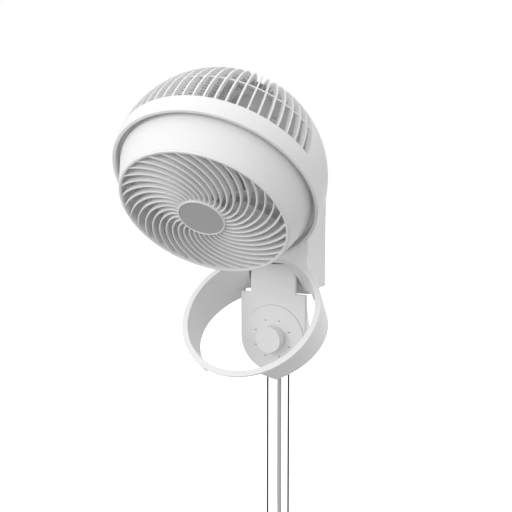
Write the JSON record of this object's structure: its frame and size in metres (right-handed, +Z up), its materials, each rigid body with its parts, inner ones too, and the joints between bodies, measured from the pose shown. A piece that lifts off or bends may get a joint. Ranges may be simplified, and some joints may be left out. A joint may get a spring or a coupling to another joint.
{
  "type": "wall-mounted air circulator fan",
  "caption": "Ball-shaped air circulator on a tilting and swinging arm with a hoop, hung from a wall box with a dial, pull cords and a mains lead.",
  "frame": {"origin": "centre of the four wall screws, on the wall's surface", "axes": "+Z up, +Y into the wall, the fan blows towards -Y, +X to the right seen from the front"},
  "size_m": [0.281, 0.3937, 0.8769],
  "materials": {
    "white_plastic": "fine satin moulding",
    "cap_grey": "fine matt moulding",
    "blade_plastic": "smooth translucent grey moulding",
    "steel": "zinc plated",
    "copper": "enamelled copper wire",
    "brass": "nickel plated brass",
    "inner_plastic": "plain moulding",
    "circuit_board": "lacquered board",
    "mark_print": "printed mark",
    "cord_grey": "soft matt sheath",
    "tie_black": "soft strap",
    "cord_dark": "braided cord"
  },
  "bodies": {
    "base": {"wall_bracket": "steel", "rear_housing": "white_plastic", "front_housing": "white_plastic", "neck_bush": "inner_plastic", "housing_screws": "steel", "bracket_lock_screw": "steel", "control_plate": "white_plastic", "dial_marks": "mark_print", "speed_switch": "inner_plastic", "swing_motor": "inner_plastic", "control_board": "circuit_board", "run_capacitor": "inner_plastic", "cord_gland": "cord_grey", "power_cord": "cord_grey", "power_cord_coil": "cord_grey", "power_cord_tail": "cord_grey", "cord_tie": "tie_black", "plug_body": "cord_grey", "plug_pins": "brass", "pull_guide_left": "white_plastic", "pull_switch_left": "inner_plastic", "pull_guide_right": "white_plastic", "pull_switch_right": "inner_plastic"},
    "knob": {"control_knob": "white_plastic", "knob_spindle": "inner_plastic"},
    "pull_left": {"pull_cord_left": "cord_dark", "pull_bell_left": "white_plastic"},
    "pull_right": {"pull_cord_right": "cord_dark", "pull_bell_right": "white_plastic"},
    "yoke": {"arm_frame": "white_plastic", "hoop": "white_plastic", "arm_rear_cover": "white_plastic", "swing_hub": "inner_plastic", "swing_hub_screws": "steel", "swing_coupling": "inner_plastic", "swing_shaft": "steel", "thrust_washer": "inner_plastic", "tilt_pin": "steel", "tilt_nut": "steel"},
    "head": {"rear_guard": "white_plastic", "head_shroud": "white_plastic", "nozzle_barrel": "white_plastic", "front_grille": "white_plastic", "centre_cap": "cap_grey", "motor_mount": "inner_plastic", "motor_front_cup": "steel", "motor_rear_cup": "steel", "motor_bearings": "steel", "motor_stator": "steel", "motor_windings": "copper", "motor_screws": "steel", "tilt_knuckle": "white_plastic", "tilt_knuckle_screws": "steel"},
    "fan": {"impeller": "blade_plastic", "impeller_nut": "blade_plastic", "motor_shaft": "steel", "motor_rotor": "steel"}
  },
  "joints": [
    {"name": "arm_swing", "type": "hinge", "parent": "base", "child": "yoke", "pos_m": [0, -0.077, 0.145], "axis": [0, 0, 1], "range_deg": [-40, 40]},
    {"name": "head_tilt", "type": "hinge", "parent": "yoke", "child": "head", "pos_m": [0, -0.097, 0.255], "axis": [-1, 0, 0], "range_deg": [-15, 60]},
    {"name": "fan_spin", "type": "hinge", "parent": "head", "child": "fan", "pos_m": [0, -0.2675, 0.27449], "axis": [0, -0.7151, -0.699], "continuous": true},
    {"name": "knob_turn", "type": "hinge", "parent": "base", "child": "knob", "pos_m": [0, -0.11, 0.03], "axis": [0, 1, 0], "range_deg": [0, 315]},
    {"name": "pull_left", "type": "slide", "parent": "base", "child": "pull_left", "axis": [0, 0, -1], "range_m": [0, 0.012], "stiffness_N_per_m": 300, "springref_m": -0.004},
    {"name": "pull_right", "type": "slide", "parent": "base", "child": "pull_right", "axis": [0, 0, -1], "range_m": [0, 0.012], "stiffness_N_per_m": 300, "springref_m": -0.004}
  ]
}
